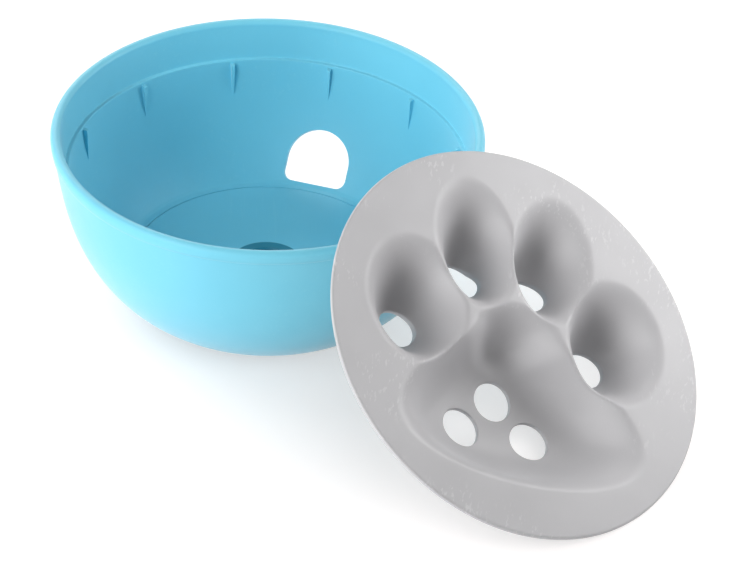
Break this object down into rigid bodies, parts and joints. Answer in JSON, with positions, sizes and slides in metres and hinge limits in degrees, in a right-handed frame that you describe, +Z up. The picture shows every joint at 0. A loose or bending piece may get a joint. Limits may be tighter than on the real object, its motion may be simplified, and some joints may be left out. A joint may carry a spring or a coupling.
{
  "type": "rocking puzzle feeder bowl",
  "caption": "Round blue plastic rocking feeder bowl with a side door, and a loose grey lid moulded as a paw print with food holes.",
  "frame": {"origin": "centre of the bowl's flat foot, on the floor", "axes": "+Z up along the bowl's axis, -Y toward the viewer of the picture, +X to the viewer's right"},
  "size_m": [0.3316, 0.3354, 0.1254],
  "materials": {
    "blue_plastic": "satin moulded light blue",
    "grey_plastic": "satin moulded light grey with fine scuffs",
    "black_rubber": "matt",
    "cast_weight": "raw casting",
    "screw_steel": "plain"
  },
  "bodies": {
    "bowl": {"bowl_shell": "blue_plastic", "floor_plate": "blue_plastic", "floor_seal": "black_rubber", "seal_washer": "black_rubber", "ballast_weight": "cast_weight", "floor_screw": "screw_steel"},
    "lid": {"paw_lid": "grey_plastic"}
  },
  "joints": [
    {"name": "lid_lift", "type": "slide", "parent": "bowl", "child": "lid", "axis": [0.441, -0.3929, 0.807], "range_m": [0, 0.15]}
  ]
}
